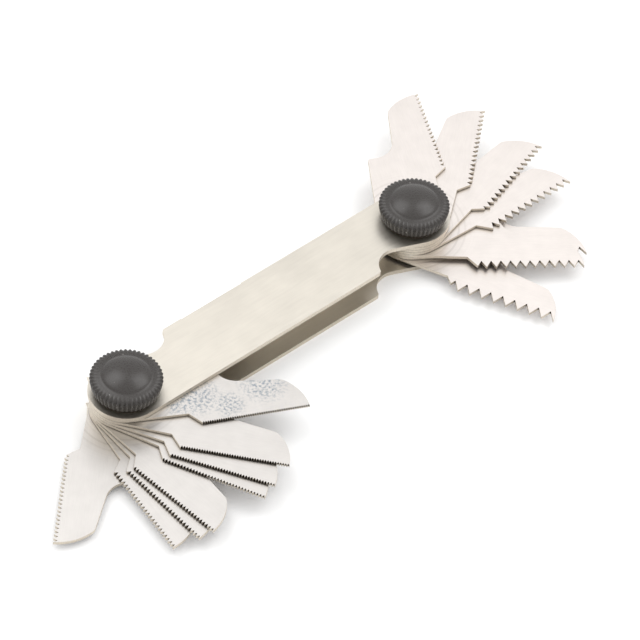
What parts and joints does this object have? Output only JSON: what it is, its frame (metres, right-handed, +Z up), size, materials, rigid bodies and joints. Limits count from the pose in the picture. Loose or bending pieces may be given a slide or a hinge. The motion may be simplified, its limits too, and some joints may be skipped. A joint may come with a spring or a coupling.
{
  "type": "thread pitch gauge",
  "caption": "Double-ended folding thread pitch gauge: slim folded steel case, a fan of toothed leaves at each end and a ribbed black clamp knob over each pivot.",
  "frame": {"origin": "underside of the case, midway between the two pivot studs", "axes": "+X along the case from the stud of the fine leaves to the stud of the coarse leaves, +Z up through the studs towards the knobs, +Y towards the folded web"},
  "size_m": [0.1011, 0.0444, 0.0095],
  "materials": {
    "case_steel": "satin nickel-plated sheet steel",
    "leaf_steel": "satin rolled spring steel with bright cut teeth",
    "stud_steel": "turned and riveted mild steel",
    "washer_steel": "thin stamped washer, lightly oiled",
    "knob_plastic": "black moulded plastic, half gloss",
    "nut_brass": "turned hexagon bar"
  },
  "bodies": {
    "case": {"case_shell": "case_steel", "left_pivot_stud": "stud_steel", "right_pivot_stud": "stud_steel", "right_stack_spacer": "washer_steel"},
    "leaf_80_tpi": {"leaf_80_tpi": "leaf_steel"},
    "leaf_72_tpi": {"leaf_72_tpi": "leaf_steel"},
    "leaf_64_tpi": {"leaf_64_tpi": "leaf_steel"},
    "leaf_56_tpi": {"leaf_56_tpi": "leaf_steel"},
    "leaf_48_tpi": {"leaf_48_tpi": "leaf_steel"},
    "leaf_44_tpi": {"leaf_44_tpi": "leaf_steel"},
    "leaf_40_tpi": {"leaf_40_tpi": "leaf_steel"},
    "leaf_36_tpi": {"leaf_36_tpi": "leaf_steel"},
    "left_clamp": {"left_clamp_washer": "washer_steel"},
    "left_knob_set": {"left_knob": "knob_plastic", "left_knob_nut": "nut_brass"},
    "leaf_32_tpi": {"leaf_32_tpi": "leaf_steel"},
    "leaf_28_tpi": {"leaf_28_tpi": "leaf_steel"},
    "leaf_24_tpi": {"leaf_24_tpi": "leaf_steel"},
    "leaf_20_tpi": {"leaf_20_tpi": "leaf_steel"},
    "leaf_18_tpi": {"leaf_18_tpi": "leaf_steel"},
    "leaf_16_tpi": {"leaf_16_tpi": "leaf_steel"},
    "leaf_14_tpi": {"leaf_14_tpi": "leaf_steel"},
    "right_clamp": {"right_clamp_washer": "washer_steel"},
    "right_knob_set": {"right_knob": "knob_plastic", "right_knob_nut": "nut_brass"}
  },
  "joints": [
    {"name": "leaf_80_tpi_turn", "type": "hinge", "parent": "case", "child": "leaf_80_tpi", "pos_m": [-0.02655, 0, 0.003], "axis": [0, 0, 1], "range_deg": [-143.8, 39.2]},
    {"name": "leaf_72_tpi_turn", "type": "hinge", "parent": "case", "child": "leaf_72_tpi", "pos_m": [-0.02655, 0, 0.003], "axis": [0, 0, 1], "range_deg": [-119.3, 63.7]},
    {"name": "leaf_64_tpi_turn", "type": "hinge", "parent": "case", "child": "leaf_64_tpi", "pos_m": [-0.02655, 0, 0.003], "axis": [0, 0, 1], "range_deg": [-110.9, 72.1]},
    {"name": "leaf_56_tpi_turn", "type": "hinge", "parent": "case", "child": "leaf_56_tpi", "pos_m": [-0.02655, 0, 0.003], "axis": [0, 0, 1], "range_deg": [-105.9, 77.1]},
    {"name": "leaf_48_tpi_turn", "type": "hinge", "parent": "case", "child": "leaf_48_tpi", "pos_m": [-0.02655, 0, 0.003], "axis": [0, 0, 1], "range_deg": [-85.6, 97.4]},
    {"name": "leaf_44_tpi_turn", "type": "hinge", "parent": "case", "child": "leaf_44_tpi", "pos_m": [-0.02655, 0, 0.003], "axis": [0, 0, 1], "range_deg": [-80.9, 102.1]},
    {"name": "leaf_40_tpi_turn", "type": "hinge", "parent": "case", "child": "leaf_40_tpi", "pos_m": [-0.02655, 0, 0.003], "axis": [0, 0, 1], "range_deg": [-72.6, 110.4]},
    {"name": "leaf_36_tpi_turn", "type": "hinge", "parent": "case", "child": "leaf_36_tpi", "pos_m": [-0.02655, 0, 0.003], "axis": [0, 0, 1], "range_deg": [-35.6, 147.4]},
    {"name": "left_clamp_lift", "type": "slide", "parent": "case", "child": "left_clamp", "axis": [0, 0, 1], "range_m": [0, 0.0005]},
    {"name": "left_knob_turn", "type": "hinge", "parent": "left_clamp", "child": "left_knob_set", "pos_m": [-0.02655, 0, 0.007], "axis": [0, 0, 1], "range_deg": [-1, 361]},
    {"name": "leaf_32_tpi_turn", "type": "hinge", "parent": "case", "child": "leaf_32_tpi", "pos_m": [0.02655, 0, 0.003], "axis": [0, 0, 1], "range_deg": [-141.7, 129.3]},
    {"name": "leaf_28_tpi_turn", "type": "hinge", "parent": "case", "child": "leaf_28_tpi", "pos_m": [0.02655, 0, 0.003], "axis": [0, 0, 1], "range_deg": [-118.5, 152.5]},
    {"name": "leaf_24_tpi_turn", "type": "hinge", "parent": "case", "child": "leaf_24_tpi", "pos_m": [0.02655, 0, 0.003], "axis": [0, 0, 1], "range_deg": [-94.9, 176.1]},
    {"name": "leaf_20_tpi_turn", "type": "hinge", "parent": "case", "child": "leaf_20_tpi", "pos_m": [0.02655, 0, 0.003], "axis": [0, 0, 1], "range_deg": [-77.8, 193.2]},
    {"name": "leaf_18_tpi_turn", "type": "hinge", "parent": "case", "child": "leaf_18_tpi", "pos_m": [0.02655, 0, 0.003], "axis": [0, 0, 1], "range_deg": [-40.9, 230.1]},
    {"name": "leaf_16_tpi_turn", "type": "hinge", "parent": "case", "child": "leaf_16_tpi", "pos_m": [0.02655, 0, 0.003], "axis": [0, 0, 1], "range_deg": [-47.8, 223.2]},
    {"name": "leaf_14_tpi_turn", "type": "hinge", "parent": "case", "child": "leaf_14_tpi", "pos_m": [0.02655, 0, 0.003], "axis": [0, 0, 1], "range_deg": [-16.2, 254.8]},
    {"name": "right_clamp_lift", "type": "slide", "parent": "case", "child": "right_clamp", "axis": [0, 0, 1], "range_m": [0, 0.0005]},
    {"name": "right_knob_turn", "type": "hinge", "parent": "right_clamp", "child": "right_knob_set", "pos_m": [0.02655, 0, 0.007], "axis": [0, 0, 1], "range_deg": [-1, 361]}
  ],
  "couplings": [
    {"joint": "left_knob_turn", "follows": "left_clamp_lift", "rad_per_m": 12566},
    {"joint": "right_knob_turn", "follows": "right_clamp_lift", "rad_per_m": 12566}
  ]
}
